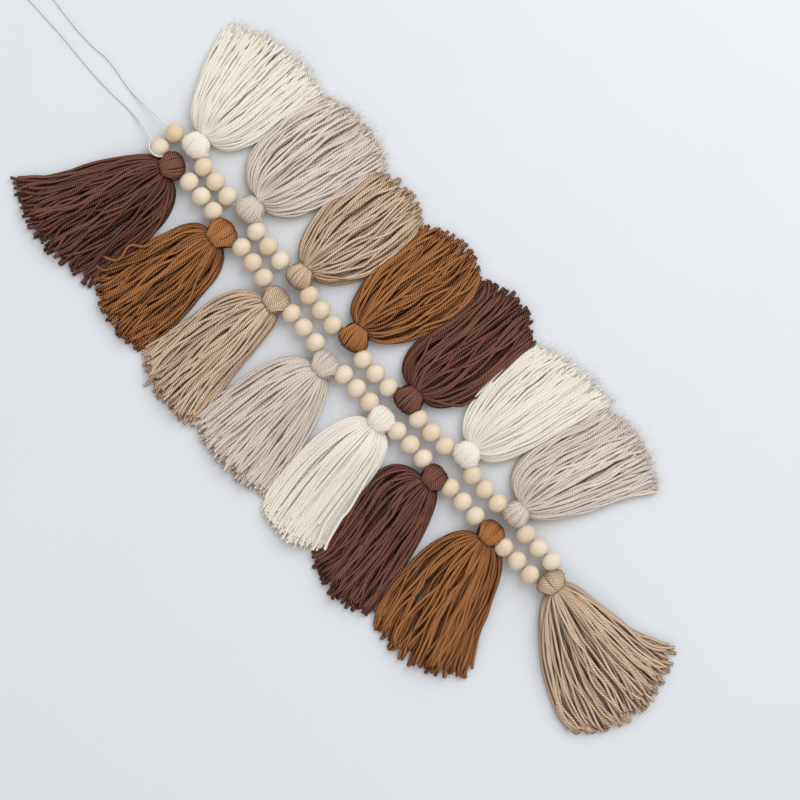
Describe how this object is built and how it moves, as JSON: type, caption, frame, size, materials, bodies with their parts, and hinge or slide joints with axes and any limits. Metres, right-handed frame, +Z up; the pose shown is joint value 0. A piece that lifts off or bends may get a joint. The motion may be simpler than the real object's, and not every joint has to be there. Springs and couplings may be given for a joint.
{
  "type": "tassel garland",
  "caption": "Garland of soft yarn tassels in earth colours and round wooden beads on a doubled cotton string that folds through one shared tassel, lying flat.",
  "frame": {"origin": "middle of the garland's own box, without the string, on the surface it lies on", "axes": "+Z up from the surface; +Y along the rows of beads towards the string's loose ends; +X towards the tassels of the right row"},
  "size_m": [0.2691, 0.791, 0.0184],
  "materials": {
    "cream_yarn": "soft matt plied yarn",
    "taupe_yarn": "soft matt plied yarn",
    "tan_yarn": "soft matt plied yarn",
    "rust_yarn": "soft matt plied yarn",
    "brown_yarn": "soft matt plied yarn",
    "natural_wood": "bare, sanded smooth",
    "white_cotton": "twisted cotton string"
  },
  "bodies": {
    "root": {"tassel_right_1": "cream_yarn", "tassel_right_2": "taupe_yarn", "tassel_right_3": "tan_yarn", "tassel_right_4": "rust_yarn", "tassel_right_5": "brown_yarn", "tassel_right_6": "cream_yarn", "tassel_right_7": "taupe_yarn", "tassel_left_1": "brown_yarn", "tassel_left_2": "rust_yarn", "tassel_left_3": "tan_yarn", "tassel_left_4": "taupe_yarn", "tassel_left_5": "cream_yarn", "tassel_left_6": "brown_yarn", "tassel_left_7": "rust_yarn", "tassel_end": "tan_yarn", "bead_right_01": "natural_wood", "bead_right_02": "natural_wood", "bead_right_03": "natural_wood", "bead_right_04": "natural_wood", "bead_right_05": "natural_wood", "bead_right_06": "natural_wood", "bead_right_07": "natural_wood", "bead_right_08": "natural_wood", "bead_right_09": "natural_wood", "bead_right_10": "natural_wood", "bead_right_11": "natural_wood", "bead_right_12": "natural_wood", "bead_right_13": "natural_wood", "bead_right_14": "natural_wood", "bead_right_15": "natural_wood", "bead_right_16": "natural_wood", "bead_right_17": "natural_wood", "bead_right_18": "natural_wood", "bead_right_19": "natural_wood", "bead_right_20": "natural_wood", "bead_right_21": "natural_wood", "bead_right_22": "natural_wood", "bead_left_01": "natural_wood", "bead_left_02": "natural_wood", "bead_left_03": "natural_wood", "bead_left_04": "natural_wood", "bead_left_05": "natural_wood", "bead_left_06": "natural_wood", "bead_left_07": "natural_wood", "bead_left_08": "natural_wood", "bead_left_09": "natural_wood", "bead_left_10": "natural_wood", "bead_left_11": "natural_wood", "bead_left_12": "natural_wood", "bead_left_13": "natural_wood", "bead_left_14": "natural_wood", "bead_left_15": "natural_wood", "bead_left_16": "natural_wood", "bead_left_17": "natural_wood", "bead_left_18": "natural_wood", "bead_left_19": "natural_wood", "bead_left_20": "natural_wood", "bead_left_21": "natural_wood", "bead_left_22": "natural_wood", "string": "white_cotton"}
  },
  "joints": []
}
